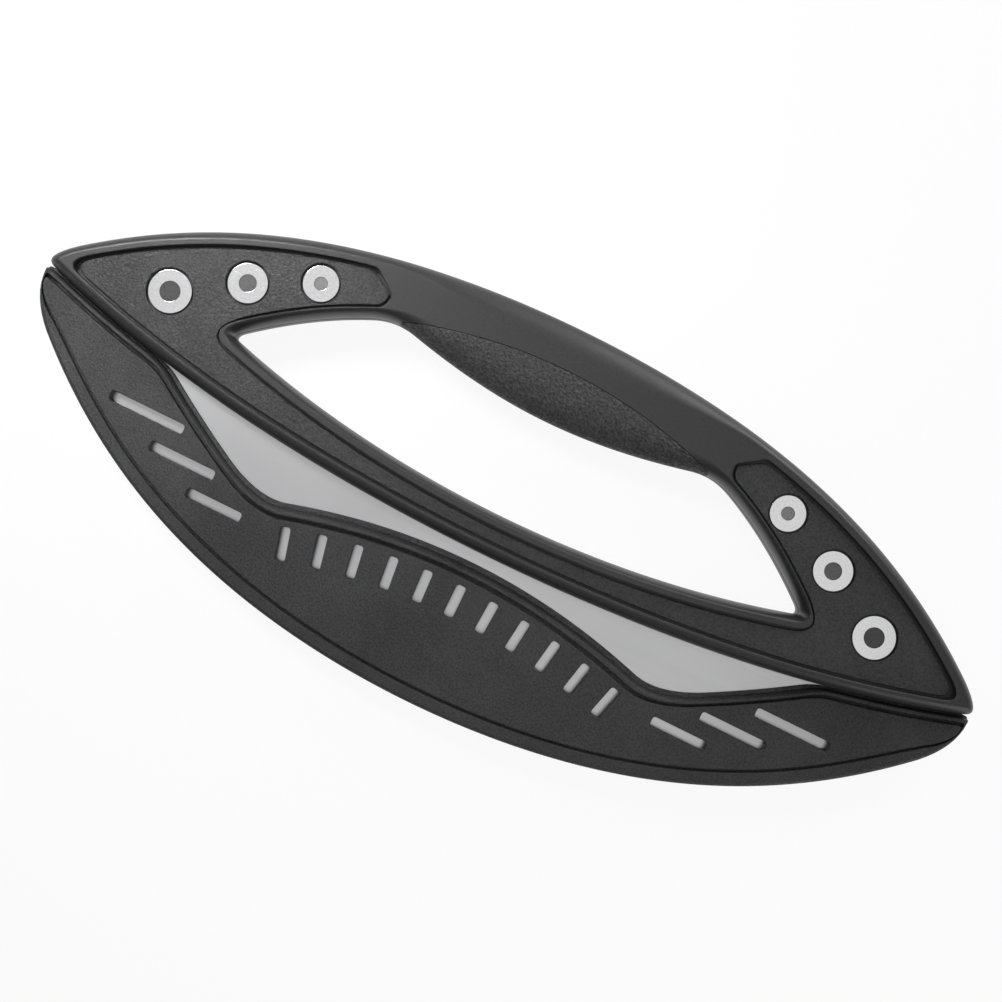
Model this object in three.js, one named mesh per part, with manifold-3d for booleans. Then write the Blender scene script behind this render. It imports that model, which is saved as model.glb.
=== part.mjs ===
// Rocker pizza cutter with its blade guard on, lying on its rear face.
// Millimetres. +X runs along the blade, +Y from the cutting edge to the grip, +Z up.
// Outlines are drawn for the right half and mirrored. Heights along Y start at the tip line,
// which runs through the two pointed ends. Depths start at the middle plane of the blade.

import * as THREE from 'three';
import { mergeVertices } from 'three/addons/utils/BufferGeometryUtils.js';
import Module from 'manifold-3d';

const wasm = await Module();
wasm.setup();

// Driving dimensions: clearances
const seamGap = 0.3;
const fitGap = 0.3;
const seatGap = 0.1;
const guardGap = 0.2;
const bladeClearance = 0.3;

// Driving dimensions: handle
const overallLength = 330;
const handleThickness = 20;
const handleTipPast = 2.2;
const handleTipY = 4.4;
const handleTipLowTrim = 5;
const handleTipTopTrim = 9.5;
const handleTopY = 59.2;
const handleTopFullness = 0.352;
const barBottomY = -19.4;
const barBottomFullness = 0.216;
const handleWall = 3.2;
const shellFloor = 2.2;
const rimWidth = 3.5;
const rimShoulder = 2.5;
const rimDegrees = [0, 35, 65, 90];
const gripBlend = 8.5;
const gripCrown = 3.3;

// Driving dimensions: finger opening in the handle
const openingFloorY = -5.8;
const wingLength = 65.7;
const openingSideY = 8;
const openingFloorFullness = 0.08;
const shoulderFromTip = 109.7;
const openingShoulderY = 35.8;
const openingSideEndY = 9;
const openingSideSag = 2.6;
const openingRimShare = 0.65;
const openingCornerTrim = 2.4;
const openingCornerGrowth = 2.4;
const openingShoulderTrim = 7;
const bellyY = 28;
const bellyEndY = 36.2;
const bellyFullness = -0.1;

// Driving dimensions: inlaid panel
const panelOuterRim = 5;
const panelLowerRim = 4.15;
const panelFloorRim = 3.8;
const panelSideRim = 2.4;
const panelEndGap = 3;
const panelGroove = 0.8;
const panelRecess = 1.6;
const panelThickness = 1.6;
const panelCornerTrim = 3;
const panelTipTrim = 6;
const panelEndTrim = 8;
const panelEndTrimShare = 0.6;
const panelCornerTrimShare = 0.3;

// Driving dimensions: soft pad on the belly of the grip
const padPeakY = 44.6;
const padEndGap = 1.5;
const padReachY = 35;
const padThickness = 1.6;
const padEndTrim = 6;

// Driving dimensions: blade
const bladeThickness = 1.2;
const bladeEdgeThickness = 0.2;
const bladeBevel = 6;
const bladeEndGap = 8;
const tangPastRivet = 11.5;
const tangTrim = 4;

// Driving dimensions: guard
const guardThickness = 9;
const guardBottomY = -72.4;
const guardNoseY = -7.7;
const guardFullness = 0.32;
const guardNoseTrim = 9;
const guardPointTrim = 4.5;
const guardNoseTrimShare = 0.85;
const guardPointTrimShare = 0.12;
const guardCrestY = -23.3;
const guardCrestRadius = 212;
const guardShoulderLength = 49.5;
const guardRampLength = 47.5;
const guardRampSag = -1.2;
const guardTroughY = -36.6;
const guardTroughTrim = 9;
const guardRampTrim = 13;
const guardShoulderTrim = 4;
const guardSpine = 3;
const guardFace = 2.2;
const guardLip = 3;
const guardRimRound = 1.4;
const edgeClearance = 1;

// Driving dimensions: slots through the guard
const slotWidth = 3.3;
const longSlotLength = 26;
const longSlotFromNose = 49.9;
const longSlotY = -25.95;
const middleSlotLength = 22.8;
const middleSlotFromNose = 66.8;
const middleSlotY = -34.85;
const shortSlotLength = 19.2;
const shortSlotFromNose = 82.1;
const shortSlotY = -43.2;
const ventCount = 11;
const ventPitch = 11.5;
const ventDepth = 13.5;
const ventLength = 11;

// Driving dimensions: hollow rivets, from the tip of the handle inwards
const largeRivetFromTip = 42.8;
const largeRivetY = 11.9;
const largeFlangeRadius = 6.95;
const largeBoreRadius = 3.3;
const mediumRivetFromTip = 63.8;
const mediumRivetY = 25.1;
const mediumFlangeRadius = 6.4;
const mediumBoreRadius = 2.8;
const smallRivetFromTip = 84.7;
const smallRivetY = 35.2;
const smallFlangeRadius = 5.8;
const smallBoreRadius = 2.15;
const flangeThickness = 1.3;
const flangeGap = 0.5;
const sleeveWall = 0.8;
const bossWall = 1.6;
const rivetHoleDepth = 0.9;
const pinHeadClearance = 1;

// Sizes that follow from the driving dimensions
const halfThickness = handleThickness / 2;
const halfBlade = bladeThickness / 2;
const halfGuard = guardThickness / 2;
const halfLength = overallLength / 2;
const halfSeam = seamGap / 2;
const handleTipX = halfLength + handleTipPast;
const openingSideX = handleTipX - wingLength;
const openingShoulderX = handleTipX - shoulderFromTip;
const gripReach = openingShoulderX + gripBlend;
const padReach = openingShoulderX - padEndGap;
const panelEndX = openingShoulderX + panelEndGap;
const bladeHalfLength = halfLength - bladeEndGap;
const tangEndX = handleTipX - smallRivetFromTip - tangPastRivet;
const guardShoulderX = halfLength - guardShoulderLength;
const guardTroughX = guardShoulderX - guardRampLength;
const panelFace = halfThickness - panelRecess;
const panelSeat = panelFace - panelThickness;
const cavityTop = panelSeat - shellFloor;
const slotHalf = halfBlade + bladeClearance;
const below = -1;
const above = halfThickness + 1;

const sideSlots = [
  { x: halfLength - longSlotFromNose, y: longSlotY, length: longSlotLength },
  { x: halfLength - middleSlotFromNose, y: middleSlotY, length: middleSlotLength },
  { x: halfLength - shortSlotFromNose, y: shortSlotY, length: shortSlotLength },
];

const rivet = (name, fromTip, y, flangeRadius, boreRadius) =>
  ({ name, x: handleTipX - fromTip, y, flangeRadius, boreRadius });
const rivets = [
  rivet('large', largeRivetFromTip, largeRivetY, largeFlangeRadius, largeBoreRadius),
  rivet('medium', mediumRivetFromTip, mediumRivetY, mediumFlangeRadius, mediumBoreRadius),
  rivet('small', smallRivetFromTip, smallRivetY, smallFlangeRadius, smallBoreRadius),
];

// Curve resolution
const longSteps = 8;
const shortSteps = 4;
const cornerSteps = 3;
const roundSegments = 14;

// Materials
const material = (color, roughness, metalness) =>
  new THREE.MeshStandardMaterial({ color, roughness, metalness, flatShading: true });
const satinPlastic = material(0x2b2b2c, 0.42, 0);
const grainedPlastic = material(0x303031, 0.75, 0);
const rubber = material(0x29292a, 0.85, 0);
const guardPlastic = material(0x2d2d2e, 0.68, 0);
const bladeSteel = material(0xb9babb, 0.3, 1);
const rivetSteel = material(0xd2d2d2, 0.28, 1);

// An edge is a height that depends on x. This one is level at mid length and rises to its reach.
function camber(mid, reach, rise, fullness) {
  return (x) => {
    const share = (x / reach) ** 2;
    return mid + rise * share * (1 - fullness + fullness * share);
  };
}

// A nearly straight edge between two points that bulges upwards by a sag
function bowedLine(startX, startY, endX, endY, sag) {
  return (x) => {
    const share = (x - startX) / (endX - startX);
    return startY + (endY - startY) * share + 4 * sag * share * (1 - share);
  };
}

// The same edge moved square to itself, upwards for a positive distance
function offsetEdge(edge, distance) {
  const step = 0.01;
  return (x) => {
    const slope = (edge(x + step) - edge(x - step)) / (2 * step);
    const moved = typeof distance === 'function' ? distance(x) : distance;
    return edge(x) + moved * Math.hypot(1, slope);
  };
}

// The x between two limits where two edges cross
function crossing(first, second, lowX, highX) {
  const passes = 50;
  let low = lowX;
  let high = highX;
  const sign = Math.sign(first(low) - second(low));
  for (let pass = 0; pass < passes; pass += 1) {
    const middle = (low + high) / 2;
    if (Math.sign(first(middle) - second(middle)) === sign) {
      low = middle;
    } else {
      high = middle;
    }
  }
  return (low + high) / 2;
}

const at = (edge, x) => new THREE.Vector2(x, edge(x));

function along(edge, fromX, toX, steps) {
  const points = [];
  for (let i = 0; i <= steps; i += 1) {
    points.push(at(edge, fromX + ((toX - fromX) * i) / steps));
  }
  return points;
}

// Points of a rounded corner, without its two ends
function rounded(start, corner, end) {
  const curve = new THREE.QuadraticBezierCurve(start, corner, end);
  return curve.getPoints(cornerSteps + 1).slice(1, -1);
}

// A whole ring, counterclockwise, from its right half given from the lower centre to the upper centre
function mirrored(half) {
  const left = half.slice(1, -1).reverse().map((point) => new THREE.Vector2(-point.x, point.y));
  return [...half, ...left];
}

// A closed solid through rings of equal counts. Each level holds an outer ring and any hole rings.
function loft(levels) {
  const positions = [];
  const starts = [];
  for (const level of levels) {
    starts.push(positions.length / 3);
    for (const point of level.rings.flat()) {
      positions.push(point.x, point.y, level.z);
    }
  }
  const faces = [];
  const wall = (low, high, count, outer) => {
    for (let i = 0; i < count; i += 1) {
      const next = (i + 1) % count;
      const [a, b] = outer ? [i, next] : [next, i];
      faces.push(low + a, low + b, high + b, low + a, high + b, high + a);
    }
  };
  const cap = (level, start, upwards) => {
    const [contour, ...holes] = level.rings;
    for (const [a, b, c] of THREE.ShapeUtils.triangulateShape(contour, holes)) {
      faces.push(...(upwards ? [a, b, c] : [c, b, a]).map((index) => start + index));
    }
  };
  for (let i = 0; i + 1 < levels.length; i += 1) {
    let before = 0;
    for (const ring of levels[i].rings) {
      wall(starts[i] + before, starts[i + 1] + before, ring.length, before === 0);
      before += ring.length;
    }
  }
  const last = levels.length - 1;
  cap(levels[0], starts[0], false);
  cap(levels[last], starts[last], true);
  const geometry = new THREE.BufferGeometry();
  geometry.setAttribute('position', new THREE.Float32BufferAttribute(positions, 3));
  geometry.setIndex(faces);
  return geometry;
}

function solid(geometry) {
  const bare = geometry.clone();
  bare.deleteAttribute('normal');
  bare.deleteAttribute('uv');
  const merged = mergeVertices(bare);
  const vertProperties = new Float32Array(merged.attributes.position.array);
  const triVerts = new Uint32Array(merged.index.array);
  return new wasm.Manifold(new wasm.Mesh({ numProp: 3, vertProperties, triVerts }));
}

function prism(rings, fromZ, toZ) {
  return solid(loft([{ z: fromZ, rings }, { z: toZ, rings }]));
}

function cylinder(radius, fromZ, toZ, x, y) {
  const geometry = new THREE.CylinderGeometry(radius, radius, toZ - fromZ, roundSegments);
  geometry.rotateX(Math.PI / 2);
  geometry.translate(x, y, (fromZ + toZ) / 2);
  return solid(geometry);
}

// A straight slot with round ends, as a prism through a guard face
function slot(length, x, y, angle) {
  const straight = (length - slotWidth) / 2;
  const shape = new THREE.Shape();
  shape.absarc(straight, 0, slotWidth / 2, -Math.PI / 2, Math.PI / 2, false);
  shape.absarc(-straight, 0, slotWidth / 2, Math.PI / 2, (3 * Math.PI) / 2, false);
  const options = { depth: above - below, bevelEnabled: false, curveSegments: cornerSteps };
  const geometry = new THREE.ExtrudeGeometry(shape, options);
  geometry.rotateZ(angle);
  geometry.translate(x, y, below);
  return solid(geometry);
}

// Edges of the handle
const handleTop = camber(handleTopY, handleTipX, handleTipY - handleTopY, handleTopFullness);
const handleLow = camber(barBottomY, handleTipX, handleTipY - barBottomY, barBottomFullness);
const openingFloor = camber(
  openingFloorY,
  openingSideX,
  openingSideY - openingFloorY,
  openingFloorFullness,
);
const openingSide = bowedLine(
  openingShoulderX,
  openingShoulderY,
  openingSideX,
  openingSideEndY,
  openingSideSag,
);
const belly = camber(bellyY, openingShoulderX, bellyEndY - bellyY, bellyFullness);
const padTop = camber(padPeakY, padReach, padReachY - padPeakY, 0);

// Over the grip the rim widens into a crown, so the grip is rounder than the wings
function crown(x) {
  const share = Math.min(Math.abs(x) / gripReach, 1);
  return 1 + (gripCrown - 1) * (1 - share ** 2) ** 2;
}

function handleRing(rim, skin) {
  const top = offsetEdge(handleTop, (x) => -rim * crown(x) - skin);
  const low = offsetEdge(handleLow, rim + skin);
  const tipX = crossing(top, low, gripReach, handleTipX + 1);
  const lowEnd = tipX - Math.max(handleTipLowTrim - rim - skin, 1);
  const topEnd = tipX - Math.max(handleTipTopTrim - rim - skin, 1);
  return mirrored([
    ...along(low, 0, lowEnd, longSteps),
    ...rounded(at(low, lowEnd), at(low, tipX), at(top, topEnd)),
    ...along(top, topEnd, 0, longSteps + shortSteps),
  ]);
}

function openingRing(rim, skin) {
  const inset = rim * openingRimShare + skin;
  const floor = offsetEdge(openingFloor, -inset);
  const side = offsetEdge(openingSide, inset);
  const roof = offsetEdge(belly, (x) => rim * crown(x) + skin);
  const sideX = crossing(side, floor, openingShoulderX, handleTipX);
  const shoulderX = crossing(roof, side, openingShoulderX - openingShoulderTrim, sideX);
  const sideTop = shoulderX + openingShoulderTrim;
  const sideEnd = sideX - openingCornerTrim - openingCornerGrowth * inset;
  return mirrored([
    ...along(floor, 0, sideEnd, longSteps),
    ...rounded(at(floor, sideEnd), at(floor, sideX), at(side, sideEnd)),
    ...along(side, sideEnd, sideTop, shortSteps),
    ...rounded(at(side, sideTop), at(side, shoulderX), at(roof, shoulderX - openingShoulderTrim)),
    ...along(roof, shoulderX - openingShoulderTrim, 0, shortSteps),
  ]);
}

// Outer form of one handle half. A skin of some thickness can be taken off it.
function handleForm(skin) {
  const height = halfThickness - rimShoulder;
  const levels = [{ z: halfSeam, rings: [handleRing(0, skin), openingRing(0, skin)] }];
  for (const degrees of rimDegrees) {
    const angle = THREE.MathUtils.degToRad(degrees);
    const rim = rimWidth * (1 - Math.cos(angle));
    const z = rimShoulder + height * Math.sin(angle) - skin;
    levels.push({ z, rings: [handleRing(rim, skin), openingRing(rim, skin)] });
  }
  return solid(loft(levels));
}

// The inlay runs from one wing along the bar to the other wing
function panelRing(inset) {
  const low = offsetEdge(handleLow, panelLowerRim + inset);
  const top = offsetEdge(handleTop, -(panelOuterRim + inset));
  const side = offsetEdge(openingSide, panelSideRim + inset);
  const floor = offsetEdge(openingFloor, -(panelFloorRim + inset));
  const tipX = crossing(top, low, gripReach, handleTipX);
  const sideX = crossing(side, floor, openingShoulderX, handleTipX);
  const endX = panelEndX + inset;
  const tipTrim = tipX - panelTipTrim;
  const sideTrim = sideX - openingCornerTrim - openingCornerGrowth * (panelSideRim + inset);
  const endHeight = top(endX) - side(endX);
  const endTrim = Math.min(panelEndTrim, panelEndTrimShare * endHeight);
  const cornerTrim = Math.min(panelCornerTrim, panelCornerTrimShare * endHeight);
  const endDrop = new THREE.Vector2(endX, top(endX) - endTrim);
  const endRise = new THREE.Vector2(endX, side(endX) + cornerTrim);
  return mirrored([
    ...along(low, 0, tipTrim, longSteps),
    ...rounded(at(low, tipTrim), at(low, tipX), at(top, tipTrim)),
    ...along(top, tipTrim, endX + panelEndTrim, longSteps),
    endDrop,
    endRise,
    ...rounded(endRise, at(side, endX), at(side, endX + panelCornerTrim)),
    ...along(side, endX + panelCornerTrim, sideTrim, shortSteps),
    ...rounded(at(side, sideTrim), at(side, sideX), at(floor, sideTrim)),
    ...along(floor, sideTrim, 0, longSteps),
  ]);
}

// Lens between the belly of the grip and the line of the soft pad, with its thin points left off
function padRing(grow) {
  const top = offsetEdge(padTop, grow);
  const low = offsetEdge(belly, -padThickness);
  const endX = crossing(padTop, low, 0, 2 * padReach) - padEndTrim + grow;
  return mirrored([
    ...along(low, 0, endX, longSteps),
    ...along(top, endX, 0, longSteps),
  ]);
}

// Edges of the guard
const guardLow = camber(guardBottomY, halfLength, guardNoseY - guardBottomY, guardFullness);
const guardShoulder = offsetEdge(handleLow, -guardGap);
const guardRamp = bowedLine(
  guardTroughX,
  guardTroughY,
  guardShoulderX,
  guardShoulder(guardShoulderX),
  guardRampSag,
);
const guardCrest = (x) => guardCrestY - x ** 2 / (2 * guardCrestRadius);

function guardRing(lowInset, topInset) {
  const low = offsetEdge(guardLow, lowInset);
  const crest = offsetEdge(guardCrest, -topInset);
  const ramp = offsetEdge(guardRamp, -topInset);
  const shoulder = offsetEdge(guardShoulder, -topInset);
  const noseX = halfLength - lowInset;
  const lowEnd = noseX - guardNoseTrim;
  const noseHeight = shoulder(noseX) - low(noseX);
  const noseTrim = Math.min(guardNoseTrim, guardNoseTrimShare * noseHeight);
  const pointTrim = Math.min(guardPointTrim, guardPointTrimShare * noseHeight);
  const noseLow = new THREE.Vector2(noseX, low(noseX) + noseTrim);
  const noseHigh = new THREE.Vector2(noseX, shoulder(noseX) - pointTrim);
  const troughX = crossing(crest, ramp, gripReach / 2, guardShoulderX);
  const shoulderX = crossing(ramp, shoulder, troughX, halfLength);
  const shoulderOut = shoulderX + guardShoulderTrim;
  const shoulderIn = shoulderX - guardShoulderTrim;
  const troughOut = troughX + guardRampTrim;
  const troughIn = troughX - guardTroughTrim;
  return mirrored([
    ...along(low, 0, lowEnd, longSteps + shortSteps),
    ...rounded(at(low, lowEnd), at(low, noseX), noseLow),
    noseLow,
    noseHigh,
    ...rounded(noseHigh, at(shoulder, noseX), at(shoulder, noseX - guardPointTrim)),
    ...along(shoulder, noseX - guardPointTrim, shoulderOut, shortSteps),
    ...rounded(at(shoulder, shoulderOut), at(ramp, shoulderX), at(ramp, shoulderIn)),
    ...along(ramp, shoulderIn, troughOut, cornerSteps),
    ...rounded(at(ramp, troughOut), at(ramp, troughX), at(crest, troughIn)),
    ...along(crest, troughIn, 0, longSteps),
  ]);
}

// The blade plate fills the guard up to its spine and runs up into the wings as two tangs
const bladeInset = guardSpine + edgeClearance;
const bladeEdge = offsetEdge(guardLow, bladeInset);
const bladeTop = offsetEdge(handleTop, -(handleWall + bladeClearance));
const bladeSide = offsetEdge(openingSide, handleWall + bladeClearance);
const bladeFloor = offsetEdge(openingFloor, -(handleWall + bladeClearance));

function bladeRing(grind, grow) {
  const edge = offsetEdge(bladeEdge, grind - grow);
  const top = offsetEdge(bladeTop, grow);
  const side = offsetEdge(bladeSide, -grow);
  const floor = offsetEdge(bladeFloor, grow);
  const endX = bladeHalfLength + grow;
  const innerX = tangEndX - grow;
  const sideX = crossing(side, floor, openingShoulderX, handleTipX);
  const sideEnd = sideX - openingCornerTrim - openingCornerGrowth * (handleWall + bladeClearance - grow);
  const endLow = new THREE.Vector2(endX, edge(endX) + tangTrim);
  const endHigh = new THREE.Vector2(endX, top(endX) - tangTrim);
  const tangHigh = new THREE.Vector2(innerX, top(innerX) - tangTrim);
  const tangLow = new THREE.Vector2(innerX, side(innerX) + tangTrim);
  return mirrored([
    ...along(edge, 0, endX - tangTrim, longSteps + shortSteps),
    ...rounded(at(edge, endX - tangTrim), at(edge, endX), endLow),
    endLow,
    endHigh,
    ...rounded(endHigh, at(top, endX), at(top, endX - tangTrim)),
    ...along(top, endX - tangTrim, innerX + tangTrim, longSteps),
    ...rounded(at(top, innerX + tangTrim), at(top, innerX), tangHigh),
    tangHigh,
    tangLow,
    ...rounded(tangLow, at(side, innerX), at(side, innerX + tangTrim)),
    ...along(side, innerX + tangTrim, sideEnd, shortSteps),
    ...rounded(at(side, sideEnd), at(side, sideX), at(floor, sideEnd)),
    ...along(floor, sideEnd, 0, longSteps),
  ]);
}

const bladeCut = prism([bladeRing(0, bladeClearance)], -slotHalf, slotHalf);

function eachRivet(use) {
  for (const side of [-1, 1]) {
    for (const rivet of rivets) {
      use(rivet, side * rivet.x, side < 0 ? 'left' : 'right');
    }
  }
}

const shankRadius = (rivet) => rivet.boreRadius + sleeveWall;

// One moulded half of the handle: rim, recess for the inlay, hollow back, rivet bosses
function handleHalf() {
  let half = handleForm(0);
  const hollowRings = [handleRing(0, handleWall), openingRing(0, handleWall + padThickness)];
  half = half.subtract(prism(hollowRings, below, cavityTop));
  half = half.subtract(prism([panelRing(0)], panelSeat, above));
  eachRivet((rivet, x) => {
    const bossTop = panelSeat - shellFloor / 2;
    half = half.add(cylinder(shankRadius(rivet) + bossWall, halfSeam, bossTop, x, rivet.y));
  });
  eachRivet((rivet, x) => {
    half = half.subtract(cylinder(shankRadius(rivet) + fitGap, below, above, x, rivet.y));
  });
  const padSeat = prism([padRing(fitGap)], below, above).subtract(handleForm(padThickness + fitGap));
  return half.subtract(padSeat).subtract(bladeCut);
}

// Soft pad over the belly of one handle half
function padHalf() {
  const lens = prism([padRing(0)], below, above);
  return handleForm(0).intersect(lens).subtract(handleForm(padThickness));
}

// Grained inlay with a round window for each rivet flange
function panelInlay() {
  let panel = prism([panelRing(panelGroove)], panelSeat + seatGap, panelFace);
  eachRivet((rivet, x) => {
    panel = panel.subtract(cylinder(rivet.flangeRadius + flangeGap, below, above, x, rivet.y));
  });
  return panel;
}

// Steel plate ground thin along its lower edge from both faces
function bladePlate() {
  const halfEdge = bladeEdgeThickness / 2;
  let plate = solid(loft([
    { z: -halfBlade, rings: [bladeRing(bladeBevel, 0)] },
    { z: -halfEdge, rings: [bladeRing(0, 0)] },
    { z: halfEdge, rings: [bladeRing(0, 0)] },
    { z: halfBlade, rings: [bladeRing(bladeBevel, 0)] },
  ]));
  eachRivet((rivet, x) => {
    plate = plate.subtract(cylinder(shankRadius(rivet) + fitGap, below, above, x, rivet.y));
  });
  return plate;
}

// One half of the guard: spine along the cutting edge, open pocket, lip along the wavy edge
function guardHalf() {
  let half = solid(loft([
    { z: halfSeam, rings: [guardRing(0, 0)] },
    { z: halfGuard - guardRimRound, rings: [guardRing(0, 0)] },
    { z: halfGuard, rings: [guardRing(guardRimRound, guardRimRound)] },
  ]));
  half = half.subtract(prism([guardRing(guardSpine, guardLip)], below, halfGuard - guardFace));
  half = half.subtract(bladeCut);
  for (const side of [-1, 1]) {
    for (const place of sideSlots) {
      half = half.subtract(slot(place.length, side * place.x, place.y, 0));
    }
  }
  for (let i = 0; i < ventCount; i += 1) {
    const x = (i - (ventCount - 1) / 2) * ventPitch;
    const lean = Math.atan2(x, guardCrestRadius);
    half = half.subtract(slot(ventLength, x, guardCrest(x) - ventDepth, Math.PI / 2 - lean));
  }
  return half;
}

// Flanged sleeve of a hollow rivet, put in from the front
function rivetSleeve(rivet) {
  const flangeTop = panelSeat + seatGap + flangeThickness;
  const sleeveEnd = pinHeadClearance - panelSeat;
  const outline = [
    [rivet.boreRadius, sleeveEnd],
    [shankRadius(rivet), sleeveEnd],
    [shankRadius(rivet), panelSeat + seatGap],
    [rivet.flangeRadius, panelSeat + seatGap],
    [rivet.flangeRadius, flangeTop],
    [rivet.boreRadius, flangeTop],
    [rivet.boreRadius, sleeveEnd],
  ];
  const points = outline.map(([radius, z]) => new THREE.Vector2(radius, z));
  const geometry = new THREE.LatheGeometry(points, roundSegments);
  geometry.rotateX(Math.PI / 2);
  return solid(geometry);
}

// Headed pin that is driven into the sleeve from the rear
function rivetPin(rivet) {
  const headSeat = -panelSeat - seatGap;
  const headEnd = headSeat - flangeThickness;
  const pinRadius = rivet.boreRadius - fitGap;
  const pinEnd = panelSeat + seatGap + flangeThickness - rivetHoleDepth;
  const outline = [
    [0, headEnd],
    [rivet.flangeRadius, headEnd],
    [rivet.flangeRadius, headSeat],
    [pinRadius, headSeat],
    [pinRadius, pinEnd],
    [0, pinEnd],
  ];
  const points = outline.map(([radius, z]) => new THREE.Vector2(radius, z));
  const geometry = new THREE.LatheGeometry(points, roundSegments);
  geometry.rotateX(Math.PI / 2);
  return solid(geometry);
}

// Assembly: the middle plane lies half a handle above the surface it rests on
const pizzaCutter = new THREE.Group();
pizzaCutter.position.set(0, -(handleTopY + guardBottomY) / 2, halfThickness);

function place(name, piece, finish) {
  const data = piece.getMesh();
  const geometry = new THREE.BufferGeometry();
  geometry.setAttribute('position', new THREE.Float32BufferAttribute(data.vertProperties, 3));
  geometry.setIndex(Array.from(data.triVerts));
  geometry.computeVertexNormals();
  const mesh = new THREE.Mesh(geometry, finish);
  mesh.name = name;
  pizzaCutter.add(mesh);
  return mesh;
}

// Both sides of the tool are alike, so a rear piece is the front one turned over its length
function placePair(name, piece, finish) {
  place(`${name}_front`, piece, finish);
  place(`${name}_rear`, piece, finish).rotation.y = Math.PI;
}

place('blade', bladePlate(), bladeSteel);
placePair('handle', handleHalf(), satinPlastic);
placePair('panel', panelInlay(), grainedPlastic);
placePair('soft_grip', padHalf(), rubber);
placePair('guard', guardHalf(), guardPlastic);
eachRivet((rivet, x, side) => {
  place(`rivet_sleeve_${side}_${rivet.name}`, rivetSleeve(rivet), rivetSteel).position.set(x, rivet.y, 0);
  place(`rivet_pin_${side}_${rivet.name}`, rivetPin(rivet), rivetSteel).position.set(x, rivet.y, 0);
});

export default pizzaCutter;
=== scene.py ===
import math

import bmesh
import bpy
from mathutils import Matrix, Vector


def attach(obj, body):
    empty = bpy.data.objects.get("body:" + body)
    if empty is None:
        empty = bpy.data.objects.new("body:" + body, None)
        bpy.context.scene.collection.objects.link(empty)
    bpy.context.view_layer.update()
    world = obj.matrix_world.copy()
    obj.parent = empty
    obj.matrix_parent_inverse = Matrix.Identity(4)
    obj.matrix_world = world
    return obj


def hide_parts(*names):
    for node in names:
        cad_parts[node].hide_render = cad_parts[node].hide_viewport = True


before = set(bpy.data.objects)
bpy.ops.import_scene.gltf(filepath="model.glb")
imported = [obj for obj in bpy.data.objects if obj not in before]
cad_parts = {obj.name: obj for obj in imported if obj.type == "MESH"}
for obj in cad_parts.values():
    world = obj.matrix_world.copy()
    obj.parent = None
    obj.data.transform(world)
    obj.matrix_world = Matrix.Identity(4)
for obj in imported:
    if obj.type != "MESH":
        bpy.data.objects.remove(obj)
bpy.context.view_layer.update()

# Blade: one crescent of rolled stainless steel with two tangs that run up into the wings of the handle.
# It is stamped from 1.2 mm sheet, brushed along its length, and its lower edge is ground from both faces.
# Outlines are drawn in millimetres for the right half, with heights from the line through the two points.
TIP_LINE = 6.6
MIDDLE_PLANE = 10.0


def spot(x, y, depth):
    """A point of the drawing in metres in the part's frame, with its depth from the middle plane."""
    return (x * 0.001, (y + TIP_LINE) * 0.001, (MIDDLE_PLANE + depth) * 0.001)


def camber(middle, reach, rise, fullness):
    """A curve that is level at the middle and rises to its full height at the reach."""
    def edge(x):
        share = (x / reach) ** 2
        return middle + rise * share * (1 - fullness + fullness * share)
    return edge


def bowed_line(start_x, start_y, end_x, end_y, sag):
    """A line between two points, bowed upwards by the sag at half way."""
    def edge(x):
        share = (x - start_x) / (end_x - start_x)
        return start_y + (end_y - start_y) * share + 4 * sag * share * (1 - share)
    return edge


def moved(edge, distance):
    """An edge moved square to itself, upwards if the distance is positive."""
    def shifted(x):
        slope = (edge(x + 0.01) - edge(x - 0.01)) / 0.02
        gap = distance(x) if callable(distance) else distance
        return edge(x) + gap * math.hypot(1, slope)
    return shifted


def meeting(first, second, low, high):
    """Where two edges cross between two places along the tool."""
    start = first(low) > second(low)
    for _ in range(50):
        middle = (low + high) / 2
        if (first(middle) > second(middle)) == start:
            low = middle
        else:
            high = middle
    return (low + high) / 2


def run(edge, start, end, steps):
    """Points along an edge, both ends among them."""
    places = [start + (end - start) * i / steps for i in range(steps + 1)]
    return [(x, edge(x)) for x in places]


def rounded(start, corner, end, steps=7):
    """Points that round off a corner, without the two ends."""
    points = []
    for i in range(1, steps + 1):
        t = i / (steps + 1)
        a, b, c = (1 - t) ** 2, 2 * t * (1 - t), t * t
        points.append(tuple(a * s + b * k + c * e for s, k, e in zip(start, corner, end)))
    return points


def both_halves(half):
    """The whole outline, from one half that starts and ends on the middle line."""
    return half + [(-x, y) for x, y in reversed(half[1:-1])]


def loft(name, levels):
    """Extrudes a flat outline from level to level, each a ring and its depth, into a closed solid."""
    bpy.ops.object.select_all(action="DESELECT")
    bpy.ops.mesh.primitive_circle_add(vertices=len(levels[0][0]), radius=0.01, fill_type="NGON")
    piece = bpy.context.object
    piece.name = name
    bpy.ops.object.mode_set(mode="EDIT")
    order = {tuple(v.co): v.index for v in bmesh.from_edit_mesh(piece.data).verts}
    for step, (ring, depth) in enumerate(levels):
        if step:
            bpy.ops.mesh.extrude_region_move()
        shape = bmesh.from_edit_mesh(piece.data)
        placed = {}
        for vertex in [v for v in shape.verts if v.select]:
            index = order[tuple(vertex.co)]
            vertex.co = spot(*ring[index], depth)
            placed[tuple(vertex.co)] = index
        order = placed
        bmesh.update_edit_mesh(piece.data)
    bpy.ops.mesh.select_all(action="SELECT")
    bpy.ops.mesh.normals_make_consistent(inside=False)
    bpy.ops.object.mode_set(mode="OBJECT")
    return piece


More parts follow.
